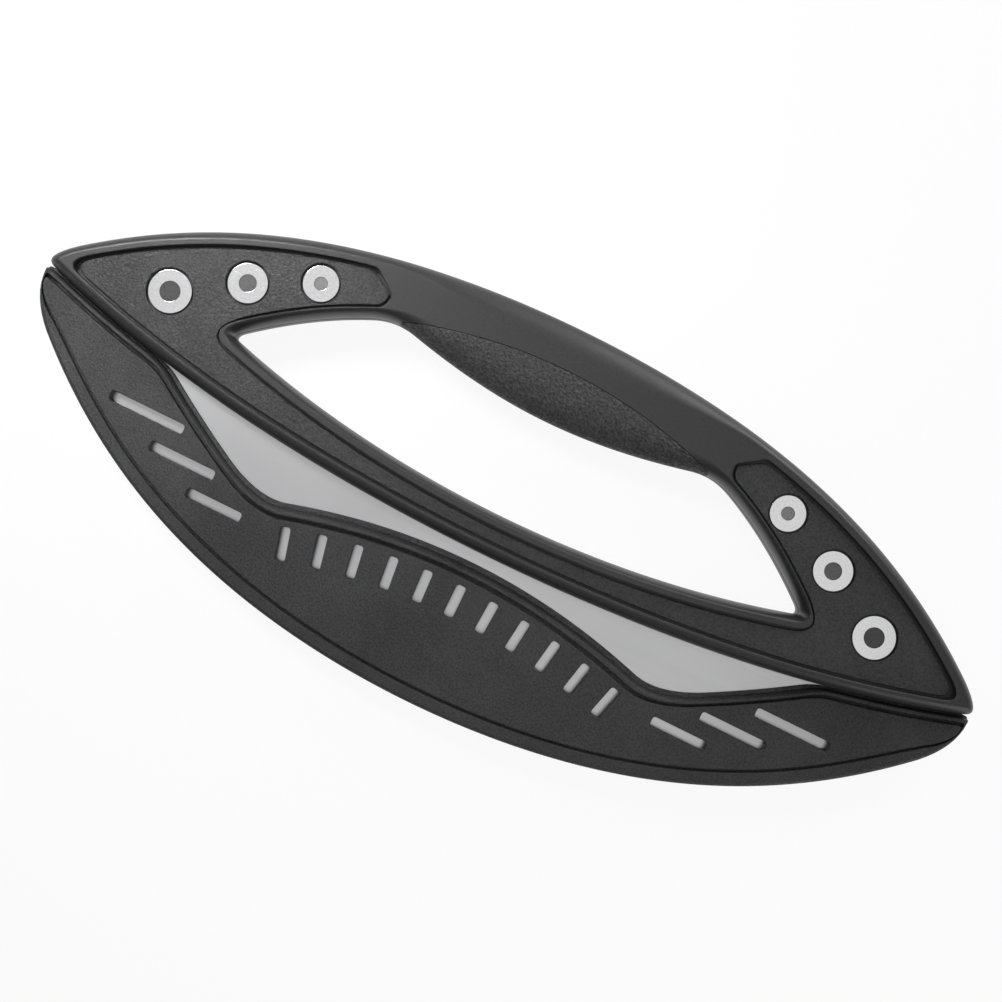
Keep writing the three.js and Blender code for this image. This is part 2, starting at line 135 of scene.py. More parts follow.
def cut(piece, tool, operation="DIFFERENCE"):
    """Cuts a piece with a tool, which is used up, or adds the tool to it."""
    bpy.context.view_layer.objects.active = piece
    modifier = piece.modifiers.new("cut", "BOOLEAN")
    modifier.operation = operation
    modifier.solver = "EXACT"
    modifier.object = tool
    bpy.ops.object.modifier_apply(modifier="cut")
    bpy.data.objects.remove(tool)


def joined(pieces):
    bpy.ops.object.select_all(action="DESELECT")
    for piece in pieces:
        piece.select_set(True)
    bpy.context.view_layer.objects.active = pieces[0]
    bpy.ops.object.join()
    return pieces[0]


def disc(radius, x, y, steps=48):
    turns = [2 * math.pi * i / steps for i in range(steps)]
    return [(x + radius * math.cos(t), y + radius * math.sin(t)) for t in turns]


def smoothed(piece, degrees=28):
    """Welds what the cuts left open and shades the piece smooth up to an angle."""
    bpy.ops.object.select_all(action="DESELECT")
    piece.select_set(True)
    bpy.context.view_layer.objects.active = piece
    bpy.ops.object.mode_set(mode="EDIT")
    bpy.ops.mesh.select_all(action="SELECT")
    bpy.ops.mesh.remove_doubles(threshold=0.000002)
    bpy.ops.object.mode_set(mode="OBJECT")
    bpy.ops.object.shade_smooth_by_angle(angle=math.radians(degrees))
    modifier = piece.modifiers.new("face weight", "WEIGHTED_NORMAL")
    modifier.keep_sharp = True
    modifier.weight = 80
    bpy.ops.object.modifier_apply(modifier="face weight")


def dressed(piece, material, body, finish, *nodes):
    """Gives a piece its material, the body that it rides on and the solids that it stands for."""
    piece.data.materials.clear()
    piece.data.materials.append(material)
    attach(piece, body)
    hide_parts(*nodes)


def new_material(name, color, roughness, metallic=0.0):
    material = bpy.data.materials.new(name)
    material.use_nodes = True
    shader = material.node_tree.nodes["Principled BSDF"]
    shader.inputs["Base Color"].default_value = (*color, 1)
    shader.inputs["Roughness"].default_value = roughness
    shader.inputs["Metallic"].default_value = metallic
    shader.inputs["Specular IOR Level"].default_value = 0.3
    return material, shader


def texture(material, kind, scale, stretch=(1, 1, 1), source="Object", detail=2.0):
    """A pattern that is fixed to the piece."""
    nodes, links = material.node_tree.nodes, material.node_tree.links
    coordinates = nodes.new("ShaderNodeTexCoord")
    mapping = nodes.new("ShaderNodeMapping")
    mapping.inputs["Scale"].default_value = stretch
    pattern = nodes.new(kind)
    pattern.inputs["Scale"].default_value = scale
    if "Detail" in pattern.inputs:
        pattern.inputs["Detail"].default_value = detail
    links.new(coordinates.outputs[source], mapping.inputs["Vector"])
    links.new(mapping.outputs["Vector"], pattern.inputs["Vector"])
    return pattern.outputs["Fac"] if "Fac" in pattern.outputs else pattern.outputs["Distance"]


def ranged(material, value, low, high, socket):
    """Lets a pattern drive a number of the shader between two values."""
    nodes, links = material.node_tree.nodes, material.node_tree.links
    node = nodes.new("ShaderNodeMapRange")
    node.inputs["From Min"].default_value = 0.3
    node.inputs["From Max"].default_value = 0.7
    node.inputs["To Min"].default_value = low
    node.inputs["To Max"].default_value = high
    links.new(value, node.inputs["Value"])
    links.new(node.outputs["Result"], socket)


def tinted(material, value, dark, light, socket):
    """Lets a pattern drive a colour of the shader between two tints."""
    nodes, links = material.node_tree.nodes, material.node_tree.links
    ramp = nodes.new("ShaderNodeValToRGB")
    ramp.color_ramp.elements[0].position = 0.3
    ramp.color_ramp.elements[0].color = (*dark, 1)
    ramp.color_ramp.elements[1].position = 0.7
    ramp.color_ramp.elements[1].color = (*light, 1)
    links.new(value, ramp.inputs["Fac"])
    links.new(ramp.outputs["Color"], socket)


def bumped(material, shader, value, strength, height):
    """Adds a pattern to the fine relief of the surface."""
    nodes, links = material.node_tree.nodes, material.node_tree.links
    bump = nodes.new("ShaderNodeBump")
    bump.inputs["Strength"].default_value = strength
    bump.inputs["Distance"].default_value = height
    if shader.inputs["Normal"].links:
        links.new(shader.inputs["Normal"].links[0].from_socket, bump.inputs["Normal"])
    links.new(value, bump.inputs["Height"])
    links.new(bump.outputs["Normal"], shader.inputs["Normal"])


HANDLE_REACH = 167.2
OPENING_REACH = 101.5
GRIP_REACH = 57.5
GUARD_REACH = 165
handle_top = camber(59.2, HANDLE_REACH, -54.8, 0.352)
handle_low = camber(-19.4, HANDLE_REACH, 23.8, 0.216)
opening_floor = camber(-5.8, OPENING_REACH, 13.8, 0.08)
opening_side = bowed_line(GRIP_REACH, 35.8, OPENING_REACH, 9, 2.6)
guard_low = camber(-72.4, GUARD_REACH, 64.7, 0.32)
# Each rivet: its size, its place along and across the tool, the radius of its flange and that of its bore.
rivets = [
    ("large", 124.4, 11.9, 6.95, 3.3),
    ("medium", 103.4, 25.1, 6.4, 2.8),
    ("small", 82.5, 35.2, 5.8, 2.15),
]
SPINE_INSET = 4
HANDLE_WALL = 3.5
BLADE_REACH = 157
TANG_REACH = 71
BLADE_CORNER = 4
OPENING_CORNER = 2.4


def blade_ring(grind, grow):
    """Outline of the blade, with the cutting edge ground back and the whole grown for a slot to fit it."""
    edge = moved(guard_low, SPINE_INSET + grind - grow)
    top = moved(handle_top, grow - HANDLE_WALL)
    side = moved(opening_side, HANDLE_WALL - grow)
    floor = moved(opening_floor, grow - HANDLE_WALL)
    end, inner, trim = BLADE_REACH + grow, TANG_REACH - grow, BLADE_CORNER
    corner = meeting(side, floor, GRIP_REACH, HANDLE_REACH)
    side_end = corner - OPENING_CORNER - OPENING_CORNER * (HANDLE_WALL - grow)
    end_low, end_high = (end, edge(end) + trim), (end, top(end) - trim)
    tang_high, tang_low = (inner, top(inner) - trim), (inner, side(inner) + trim)
    half = run(edge, 0, end - trim, 90)
    half += rounded(half[-1], (end, edge(end)), end_low) + [end_low, end_high]
    half += rounded(end_high, (end, top(end)), (end - trim, top(end - trim)))
    half += run(top, end - trim, inner + trim, 50)
    half += rounded(half[-1], (inner, top(inner)), tang_high) + [tang_high, tang_low]
    half += rounded(tang_low, (inner, side(inner)), (inner + trim, side(inner + trim)))
    half += run(side, inner + trim, side_end, 16)
    half += rounded(half[-1], (corner, side(corner)), (side_end, floor(side_end)))
    half += run(floor, side_end, 0, 50)
    return both_halves(half)


def rivet_holes(gap, low, high, flare=0.0):
    """Round cutters for the rivet places of both wings, opened out by the flare at their upper end."""
    tools = []
    for name, x, y, flange, bore in rivets:
        radius = gap(flange, bore)
        for place in (-x, x):
            levels = [(disc(radius, place, y), low), (disc(radius, place, y), high - flare)]
            for turn in (30, 60, 90):
                lean = math.radians(turn)
                wide = radius + flare * (1 - math.cos(lean))
                levels.append((disc(wide, place, y), high - flare + flare * math.sin(lean)))
            levels.append((disc(radius + flare + 0.3, place, y), high + 0.3))
            tools.append(loft("rivet_hole", levels))
    return joined(tools)


steel, steel_shader = new_material("brushed_blade_steel", (0.34, 0.34, 0.345), 0.3, 1.0)
brush = texture(steel, "ShaderNodeTexNoise", 900, (0.02, 1, 1), detail=3)
cloud = texture(steel, "ShaderNodeTexNoise", 18, detail=3)
ranged(steel, brush, 0.29, 0.33, steel_shader.inputs["Roughness"])
tinted(steel, cloud, (0.32, 0.32, 0.325), (0.36, 0.36, 0.365), steel_shader.inputs["Base Color"])
bumped(steel, steel_shader, brush, 0.04, 0.00002)
SHANK_ROOM = 1.1


def shank_hole(flange, bore):
    return bore + SHANK_ROOM


# Each level of the ground sheet: how far the edge is ground back, and its depth.
plate = [(6.0, -0.6), (5.85, -0.59), (0.3, -0.12), (0, -0.1)]
plate += [(grind, -depth) for grind, depth in reversed(plate)]
blade = loft("blade_plate", [(blade_ring(grind, 0), depth) for grind, depth in plate])
cut(blade, rivet_holes(shank_hole, -2, 2))
smoothed(blade, 12)
dressed(blade, steel, "cutter", "blade_steel", "blade")


# Handle: two injection moulded halves of black glass-filled plastic that close round the blade's tangs.
# Each has a rounded satin rim, a recess for the inlay, and a fuller, rounder grip over the opening.
# The halves are alike, so the rear one is the front one turned over. They meet in a fine parting line.
GRIP_END = 66
CROWN_GAIN = 2.75
LOW_TIP_TRIM = 5
TOP_TIP_TRIM = 9.5
GRIP_CORNER = 7
RIM_WIDTH = 3.5
RIM_DEPTH = 7.5
SIDE_DEPTH = 2.5
PART_GAP = 0.3
OPENING_RIM_SHARE = 0.65
PAD_UNDERCUT = 3
PAD_END_TRIM = 3
belly = camber(28, GRIP_REACH, 8.2, -0.1)
pad_top = camber(44.6, 56, -9.6, 0)


def crown(x):
    """How many times wider the rounding is at the grip than along the wings."""
    share = min(abs(x) / GRIP_END, 1)
    return 1 + CROWN_GAIN * (1 - share ** 2) ** 2


def handle_ring(rim, skin):
    """Outer outline of the handle, moved inwards by some of the rim and by a skin."""
    top = moved(handle_top, lambda x: -rim * crown(x) - skin)
    low = moved(handle_low, rim + skin)
    tip = meeting(top, low, GRIP_END, HANDLE_REACH + 1)
    low_end = tip - max(LOW_TIP_TRIM - rim - skin, 1)
    top_end = tip - max(TOP_TIP_TRIM - rim - skin, 1)
    half = run(low, 0, low_end, 80)
    half += rounded(half[-1], (tip, low(tip)), (top_end, top(top_end)))
    half += run(top, top_end, 0, 90)
    return both_halves(half)


def opening_ring(rim, skin):
    """Outline of the finger opening, moved outwards by some of the rim and by a skin."""
    inset = OPENING_RIM_SHARE * rim + skin
    floor = moved(opening_floor, -inset)
    side = moved(opening_side, inset)
    roof = moved(belly, lambda x: rim * crown(x) + skin)
    corner = meeting(side, floor, GRIP_REACH, HANDLE_REACH)
    shoulder = meeting(roof, side, GRIP_REACH - GRIP_CORNER, corner)
    side_top, roof_end = shoulder + GRIP_CORNER, shoulder - GRIP_CORNER
    side_end = corner - OPENING_CORNER - OPENING_CORNER * inset
    half = run(floor, 0, side_end, 52)
    half += rounded(half[-1], (corner, floor(corner)), (side_end, side(side_end)))
    half += run(side, side_end, side_top, 20)
    half += rounded(half[-1], (shoulder, side(shoulder)), (roof_end, roof(roof_end)))
    half += run(roof, roof_end, 0, 30)
    return both_halves(half)


def handle_form(name, skin):
    """One half of the handle without recess, with a skin of some thickness taken off."""
    levels = [(PART_GAP, 0.15), (0, 0.45)]
    for step in range(13):
        lean = math.radians(90 * step / 12)
        levels.append((RIM_WIDTH * (1 - math.cos(lean)), SIDE_DEPTH + RIM_DEPTH * math.sin(lean) - skin))
    form = loft(name, [(handle_ring(rim, skin), depth) for rim, depth in levels])
    levels = [(PART_GAP, -1.0)] + levels + [(levels[-1][0] + 0.4, levels[-1][1] + 0.4)]
    cut(form, loft("opening", [(opening_ring(rim, skin), depth) for rim, depth in levels]))
    return form


LOW_RIM = 4.15
TOP_RIM = 5
SIDE_RIM = 2.4
FLOOR_RIM = 3.8
PANEL_END = 60.5
PANEL_TIP = 6
PANEL_CHAMFER = 8
PANEL_CORNER = 3


def panel_ring(inset):
    """Outline of the recess for the inlay, moved inwards."""
    low = moved(handle_low, LOW_RIM + inset)
    top = moved(handle_top, -TOP_RIM - inset)
    side = moved(opening_side, SIDE_RIM + inset)
    floor = moved(opening_floor, -FLOOR_RIM - inset)
    tip = meeting(top, low, GRIP_END, HANDLE_REACH)
    corner = meeting(side, floor, GRIP_REACH, HANDLE_REACH)
    end = PANEL_END + inset
    tip_end = tip - PANEL_TIP
    side_end = corner - OPENING_CORNER - OPENING_CORNER * (SIDE_RIM + inset)
    height = top(end) - side(end)
    drop = (end, top(end) - min(PANEL_CHAMFER, 0.6 * height))
    rise = (end, side(end) + min(PANEL_CORNER, 0.3 * height))
    chamfer = (end + PANEL_CHAMFER, top(end + PANEL_CHAMFER))
    half = run(low, 0, tip_end, 80)
    half += rounded(half[-1], (tip, low(tip)), (tip_end, top(tip_end)))
    half += run(top, tip_end, end + PANEL_CHAMFER + 1.5, 50)
    half += rounded(half[-1], chamfer, tuple(c + 0.2 * (d - c) for c, d in zip(chamfer, drop)), 3)
    near_drop = tuple(d + 0.2 * (c - d) for c, d in zip(chamfer, drop))
    after_drop = tuple(d + 0.4 * (r - d) for r, d in zip(rise, drop))
    half += [near_drop] + rounded(near_drop, drop, after_drop, 3) + [after_drop, rise]
    half += rounded(rise, (end, side(end)), (end + PANEL_CORNER, side(end + PANEL_CORNER)))
    half += run(side, end + PANEL_CORNER, side_end, 20)
    half += rounded(half[-1], (corner, side(corner)), (side_end, floor(side_end)))
    half += run(floor, side_end, 0, 52)
    return both_halves(half)


def pad_ring(grow):
    """Outline of the skin on the grip, grown for its seat."""
    top = moved(pad_top, grow)
    low = moved(belly, -PAD_UNDERCUT)
    end = meeting(pad_top, moved(belly, -1.6), 0, 112) - PAD_END_TRIM + grow
    return both_halves(run(low, 0, end, 40) + run(top, end, 0, 40))


def turned_over(piece, name):
    """A copy for the rear, turned over about the line across the tool's middle plane."""
    bpy.ops.object.select_all(action="DESELECT")
    piece.select_set(True)
    bpy.context.view_layer.objects.active = piece
    bpy.ops.object.duplicate(linked=False)
    rear = bpy.context.object
    rear.name = name
    middle = (0, 0, MIDDLE_PLANE * 0.001)
    bpy.ops.transform.rotate(value=math.pi, orient_axis="Y", center_override=middle)
    bpy.ops.object.transform_apply(location=True, rotation=True, scale=True)
    return rear


satin, satin_shader = new_material("satin_handle_plastic", (0.025, 0.025, 0.0255), 0.4)
spark = texture(satin, "ShaderNodeTexNoise", 1500, detail=3)
flow = texture(satin, "ShaderNodeTexNoise", 60, detail=4)
ranged(satin, flow, 0.36, 0.44, satin_shader.inputs["Roughness"])
tinted(satin, spark, (0.02, 0.02, 0.0205), (0.03, 0.03, 0.0305), satin_shader.inputs["Base Color"])
bumped(satin, satin_shader, spark, 0.5, 0.00006)

RECESS_FLOOR = 6.8
LIP_START = 9.65
LIP_ROUND = 0.35
SEAT_GAP = 0.2
SEAT_DEPTH = 1.9
BLADE_GAP = 0.3
SLOT_HALF = 0.9
handle = handle_form("handle_shell_front", 0)
lip = [(0, RECESS_FLOOR), (0, LIP_START)]
for turn in (30, 60, 90):
    lean = math.radians(turn)
    lip.append((-LIP_ROUND * (1 - math.cos(lean)), LIP_START + LIP_ROUND * math.sin(lean)))
lip.append((-0.6, 10.4))
cut(handle, loft("inlay_recess", [(panel_ring(inset), depth) for inset, depth in lip]))
pad_seat = loft("pad_seat", [(pad_ring(SEAT_GAP), -1), (pad_ring(SEAT_GAP), 11)])
cut(pad_seat, handle_form("pad_floor", SEAT_DEPTH))
cut(handle, pad_seat)
blade_slot = [(blade_ring(0, BLADE_GAP), -SLOT_HALF), (blade_ring(0, BLADE_GAP), SLOT_HALF)]
cut(handle, loft("blade_slot", blade_slot))
cut(handle, rivet_holes(shank_hole, -2, 8))
smoothed(handle)
dressed(handle, satin, "cutter", "handle_plastic", "handle_front")
handle_rear = turned_over(handle, "handle_shell_rear")
dressed(handle_rear, satin, "cutter", "handle_plastic", "handle_rear")


# Inlays: a fine-grained plastic panel pressed into the recess of each handle half, from wing to wing.
# The edge is rounded, which leaves a narrow dark groove to the rim, and each rivet has a round window.
grained, grained_shader = new_material("grained_inlay_plastic", (0.028, 0.028, 0.0285), 0.6)
grain = texture(grained, "ShaderNodeTexNoise", 1500, detail=4)
pebble = texture(grained, "ShaderNodeTexVoronoi", 1300)
haze = texture(grained, "ShaderNodeTexNoise", 45, detail=4)
ranged(grained, haze, 0.24, 0.36, grained_shader.inputs["Specular IOR Level"])
ranged(grained, grain, 0.74, 0.36, grained_shader.inputs["Roughness"])
tinted(grained, grain, (0.02, 0.02, 0.0205), (0.04, 0.04, 0.0405), grained_shader.inputs["Base Color"])
bumped(grained, grained_shader, grain, 0.8, 0.0002)
bumped(grained, grained_shader, pebble, 0.7, 0.00015)

PANEL_GAP = 0.8
PANEL_FOOT = 6.9
PANEL_SIDE = 7.95
PANEL_ROUND = 0.45
PANEL_FACE = 8.4
WINDOW_ROUND = 0.3
WINDOW_GAP = 0.6


def rivet_window(flange, bore):
    return flange + WINDOW_GAP


panel_edge = [(PANEL_GAP, PANEL_FOOT), (PANEL_GAP, PANEL_SIDE)]
for turn in (22.5, 45, 67.5, 90):
    lean = math.radians(turn)
    inset = PANEL_GAP + PANEL_ROUND * (1 - math.cos(lean))
    panel_edge.append((inset, PANEL_SIDE + PANEL_ROUND * math.sin(lean)))
panel = loft("inlay_panel_front", [(panel_ring(inset), depth) for inset, depth in panel_edge])
cut(panel, rivet_holes(rivet_window, 5, PANEL_FACE, WINDOW_ROUND))
smoothed(panel)
dressed(panel, grained, "cutter", "panel_plastic", "panel_front")
panel_rear = turned_over(panel, "inlay_panel_rear")
dressed(panel_rear, grained, "cutter", "panel_plastic", "panel_rear")


# Grip skins: a thermoplastic rubber skin moulded over the belly of each grip half, where fingers hold.
# It is grained, lies in a shallow seat with a fine line round it, and follows the form of the grip.
rubber, rubber_shader = new_material("grained_grip_rubber", (0.036, 0.036, 0.036), 0.7)
stipple = texture(rubber, "ShaderNodeTexVoronoi", 1000)
speckle = texture(rubber, "ShaderNodeTexNoise", 1100, detail=4)
ranged(rubber, speckle, 0.86, 0.42, rubber_shader.inputs["Roughness"])
tinted(rubber, speckle, (0.022, 0.022, 0.022), (0.064, 0.064, 0.0645), rubber_shader.inputs["Base Color"])
bumped(rubber, rubber_shader, stipple, 1.0, 0.0004)
bumped(rubber, rubber_shader, speckle, 0.9, 0.0004)

SKIN_DEPTH = 1.6
grip_skin = handle_form("grip_skin_front", 0)
cut(grip_skin, loft("skin_outline", [(pad_ring(0), -1), (pad_ring(0), 11)]), "INTERSECT")
cut(grip_skin, handle_form("skin_inside", SKIN_DEPTH))
smoothed(grip_skin)
dressed(grip_skin, rubber, "cutter", "soft_grip", "soft_grip_front")
grip_skin_rear = turned_over(grip_skin, "grip_skin_rear")
dressed(grip_skin_rear, rubber, "cutter", "soft_grip", "soft_grip_rear")


# Rivets: six two-part hollow rivets of turned stainless steel in three sizes, put in from the front.
# The flanged sleeve sits in a window of the front inlay, and the headed pin is driven in from the rear.
# The pin stops short of the flange, so its end shows as a shallow hole. The end's dark colour is partly a
# dull finish and partly painted shade of the hole, painted darker for the larger sizes.
turned, turned_shader = new_material("turned_rivet_steel", (0.45, 0.45, 0.455), 0.16, 1.0)
rings = texture(turned, "ShaderNodeTexNoise", 60, (0.05, 1, 1), "UV", 2)
scuff = texture(turned, "ShaderNodeTexNoise", 1400, detail=3)
ranged(turned, scuff, 0.13, 0.19, turned_shader.inputs["Roughness"])
tinted(turned, scuff, (0.42, 0.42, 0.425), (0.48, 0.48, 0.485), turned_shader.inputs["Base Color"])
bumped(turned, turned_shader, rings, 0.2, 0.00004)


def lathed(name, profile, x, y):
    """Spins a closed profile of radii and depths round the axis of a rivet."""
    bpy.ops.object.select_all(action="DESELECT")
    bpy.ops.mesh.primitive_circle_add(vertices=len(profile), radius=0.01, fill_type="NOTHING")
    piece = bpy.context.object
    piece.name = name
    for vertex, (radius, depth) in zip(piece.data.vertices, profile):
        vertex.co = spot(x + radius, y, depth)
    bpy.ops.object.mode_set(mode="EDIT")
    bpy.ops.mesh.select_all(action="SELECT")
    bpy.ops.mesh.spin(steps=64, angle=2 * math.pi, center=spot(x, y, 0), axis=(0, 0, 1))
    bpy.ops.mesh.select_all(action="SELECT")
    bpy.ops.mesh.remove_doubles(threshold=0.000002)
    bpy.ops.mesh.normals_make_consistent(inside=False)
    bpy.ops.object.mode_set(mode="OBJECT")
    return piece


def polar_map(piece, x, y):
    """Lays a map round the axis, so that the turning marks run in rings."""
    layer = piece.data.uv_layers.new(name="turned")
    for loop in piece.data.loops:
        place = piece.data.vertices[loop.vertex_index].co
        dx, dy = place.x * 1000 - x, place.y * 1000 - TIP_LINE - y
        layer.data[loop.index].uv = (math.atan2(dy, dx) / 6.283 + 0.5, math.hypot(dx, dy) * 0.1)


def copied(piece, name, shift):
    """A copy with its own mesh, moved along the tool."""
    bpy.ops.object.select_all(action="DESELECT")
    piece.select_set(True)
    bpy.context.view_layer.objects.active = piece
    bpy.ops.object.duplicate(linked=False)
    other = bpy.context.object
    other.name = name
    bpy.ops.transform.translate(value=(shift * 0.001, 0, 0))
    bpy.ops.object.transform_apply(location=True, rotation=True, scale=True)
    return other


SHANK_WALL = 0.8
PIN_END_START = 0.0165
# Painted shade: each size's pin end is painted its own grey of the same steel, darker for the larger pins,
# for the shade in their holes.
pin_painted_shade = {"large": 0.048, "medium": 0.078, "small": 0.15}
for size, x, y, flange, bore in rivets:
    shank = bore + SHANK_WALL
    shade_painted, shade_painted_shader = new_material(f"dull_{size}_pin_end", (pin_painted_shade[size],) * 3, 0.29, 0.6)
    pits = texture(shade_painted, "ShaderNodeTexNoise", 1600, detail=3)
    ranged(shade_painted, pits, 0.27, 0.32, shade_painted_shader.inputs["Roughness"])
    dark, light = 0.92 * pin_painted_shade[size], 1.08 * pin_painted_shade[size]
    tinted(shade_painted, pits, (dark, dark, dark), (light, light, light), shade_painted_shader.inputs["Base Color"])
    bumped(shade_painted, shade_painted_shader, pits, 0.12, 0.00002)
    sleeve_profile = [
        (bore, -5.8), (shank, -5.8), (shank, 6.9), (flange - 0.2, 6.9), (flange, 7.1), (flange, 7.8),
        (flange - 0.03, 7.9), (flange - 0.1, 7.93), (bore + 0.1, 7.93), (bore + 0.03, 7.9),
        (bore, 7.8),
    ]
    sleeve = lathed(f"rivet_sleeve_right_{size}_turned", sleeve_profile, x, y)
    polar_map(sleeve, x, y)
    smoothed(sleeve, 35)
    pin_levels = [
        (flange - 0.4, -8.2), (flange - 0.12, -8.08), (flange, -7.8), (flange, -7.1),
        (flange - 0.2, -6.9), (bore - 0.05, -6.9), (bore - 0.05, 7.68), (bore - 0.1, 7.72),
    ]
    pin = loft(f"rivet_pin_right_{size}_turned", [(disc(r, x, y, 64), depth) for r, depth in pin_levels])
    polar_map(pin, x, y)
    smoothed(pin, 35)
    for piece, kind in ((sleeve, "sleeve"), (pin, "pin")):
        left = copied(piece, f"rivet_{kind}_left_{size}_turned", -2 * x)
        for place, side in ((piece, "right"), (left, "left")):
            dressed(place, turned, "cutter", "rivet_steel", f"rivet_{kind}_{side}_{size}")
            if kind == "pin":
                place.data.materials.append(shade_painted)
                for face in place.data.polygons:
                    if face.center.z > PIN_END_START:
                        face.material_index = 1


# Guard: two moulded halves of black plastic, joined along the spine, that slip over the cutting edge.
# A groove marks off the plain border from the grained face, and a bead runs along the wavy upper edge.
# Three slots at each side and a row of vents in the middle show the steel behind them.
KNEE = 115.5
CREST_TOP = -23.3
CREST_RADIUS = 212
NOSE = 164.6
NOSE_CORNER = 4.5
KNEE_CORNER = 4
TROUGH_OUT = 13
TROUGH_IN = 9
CREST_SPREAD = 1.25
RAMP_SPREAD = 0.9
guard_shoulder = moved(handle_low, -0.2)
guard_ramp = bowed_line(68, -36.6, KNEE, guard_shoulder(KNEE), -1.2)


def guard_crest(x):
    return CREST_TOP - x * x / (2 * CREST_RADIUS)


def shoulder_gap(inset):
    """The bead keeps a broad top along the shoulders, so the insets aren't even there."""
    steps = [(0, 0), (1.3, 0.6), (2.8, 1.3), (3.2, 2.2), (4.4, 3.5), (6, 5.2)]
    for (start, near), (end, far) in zip(steps, steps[1:]):
        if inset <= end:
            return near + (far - near) * (inset - start) / (end - start)
    return steps[-1][1]


def guard_ring(low_inset, top_inset, nose_share=1.0, nose_trim=9.0):
    """Outline of the guard moved inwards. Towards the nose the lower inset shrinks to its nose share."""
    def low_gap(x):
        near = min(max((abs(x) - 125) / 40, 0), 1)
        return low_inset * (1 - (1 - nose_share) * near ** 4)

    low = moved(guard_low, low_gap)
    crest = moved(guard_crest, -CREST_SPREAD * top_inset)
    ramp = moved(guard_ramp, -RAMP_SPREAD * top_inset)
    shoulder = moved(guard_shoulder, -shoulder_gap(top_inset))
    nose = NOSE - low_inset * nose_share
    low_end = nose - nose_trim
    height = shoulder(nose) - low(nose)
    nose_low = (nose, low(nose) + min(nose_trim, 0.85 * height))
    nose_high = (nose, shoulder(nose) - min(2.2, 0.12 * height))
    trough = meeting(crest, ramp, 33, 116)
    knee = meeting(ramp, shoulder, trough, GUARD_REACH)
    nose_top = nose - NOSE_CORNER
    half = run(low, 0, low_end, 90)
    half += rounded(half[-1], (nose, low(nose)), nose_low) + [nose_low, nose_high]
    half += rounded(nose_high, (nose, shoulder(nose)), (nose_top, shoulder(nose_top)), 5)
    half += run(shoulder, nose_top, knee + KNEE_CORNER, 24)
    half += rounded(half[-1], (knee, ramp(knee)), (knee - KNEE_CORNER, ramp(knee - KNEE_CORNER)))
    half += run(ramp, knee - KNEE_CORNER, trough + TROUGH_OUT, 24)
    trough_end = (trough - TROUGH_IN, crest(trough - TROUGH_IN))
    half += rounded(half[-1], (trough, ramp(trough)), trough_end, 11)
    half += run(crest, trough - TROUGH_IN, 0, 36)
    return both_halves(half)


SLOT_WIDTH = 3.3
SLOT_CORNER = 1.0


def slot_ring(length, width, x, y, angle, steps=6):
    """Outline of a straight slot with round corners, turned about its middle."""
    corner, points = SLOT_CORNER, []
    across, along = length / 2 - corner, width / 2 - corner
    corners = ((-90, across, -along), (0, across, along), (90, -across, along), (180, -across, -along))
    for start, u, v in corners:
        for i in range(steps + 1):
            turn = math.radians(start + 90 * i / steps)
            points.append((u + corner * math.cos(turn), v + corner * math.sin(turn)))
    c, s = math.cos(angle), math.sin(angle)
    return [(x + c * u - s * v, y + s * u + c * v) for u, v in points]


def slot_tool(length, x, y, angle):
    """A cutter for one slot, opened out at the face for a rounded edge."""
    levels = []
    for grow, depth in ((0, 0.5), (0, 3.95), (0.03, 4.1), (0.12, 4.21), (0.3, 4.25), (0.6, 4.6)):
        levels.append((slot_ring(length + 2 * grow, SLOT_WIDTH + 2 * grow, x, y, angle), depth))
    return loft("slot", levels)


moulded, moulded_shader = new_material("moulded_guard_plastic", (0.026, 0.026, 0.0265), 0.55)
mould = texture(moulded, "ShaderNodeTexNoise", 1600, detail=3)
drift = texture(moulded, "ShaderNodeTexNoise", 40, detail=5)
ranged(moulded, drift, 0.22, 0.4, moulded_shader.inputs["Specular IOR Level"])
ranged(moulded, mould, 0.74, 0.34, moulded_shader.inputs["Roughness"])
guard_dark, guard_light = (0.018, 0.018, 0.0185), (0.036, 0.036, 0.0365)
tinted(moulded, mould, guard_dark, guard_light, moulded_shader.inputs["Base Color"])
bumped(moulded, moulded_shader, mould, 0.9, 0.0002)

# Each level of the rim, the groove and the face: insets from the lower and the upper edge, and its depth.
rim = [
    (0.25, 0.25, 0.15), (0, 0, 0.4), (0, 0, 1.2), (0, 0.1, 1.4), (0, 0.3, 1.5), (0, 1.3, 1.55),
    (0, 1.45, 2.6), (0.05, 1.6, 3.3), (0.2, 1.85, 3.75), (0.55, 2.2, 4.16), (1.0, 2.55, 4.41),
    (1.5, 2.8, 4.5),
]
guard = loft("guard_shell_front", [(guard_ring(low, top), depth) for low, top, depth in rim])
groove = [
    (4.7, 3.4, 1.7), (4.62, 3.37, 3.6), (4.55, 3.33, 4.2), (4.45, 3.25, 4.42), (4.3, 3.1, 4.5),
    (4.0, 2.8, 4.8),
]
cut(guard, loft("groove", [(guard_ring(low, top, 0.2, 8), depth) for low, top, depth in groove]))
face = [
    (4.6, 4.35, 1.5), (4.6, 4.35, 2.65), (5.35, 4.35, 2.7), (5.35, 4.35, 3.85), (5.45, 4.45, 4.05),
    (5.6, 4.6, 4.2), (5.85, 4.85, 4.25),
]
cut(guard, loft("face", [(guard_ring(low, top, 0.25, 8), depth) for low, top, depth in face]), "UNION")
cut(guard, loft("edge_slot", blade_slot))
VENT_COUNT = 11
VENT_LENGTH = 11
VENT_PITCH = 11.5
VENT_DROP = 13.5
tools = []
for length, x, y in ((26, 115.1, -25.95), (22.8, 98.2, -34.85), (19.2, 82.9, -43.2)):
    tools.append(slot_tool(length, x, y, 0))
    tools.append(slot_tool(length, -x, y, 0))
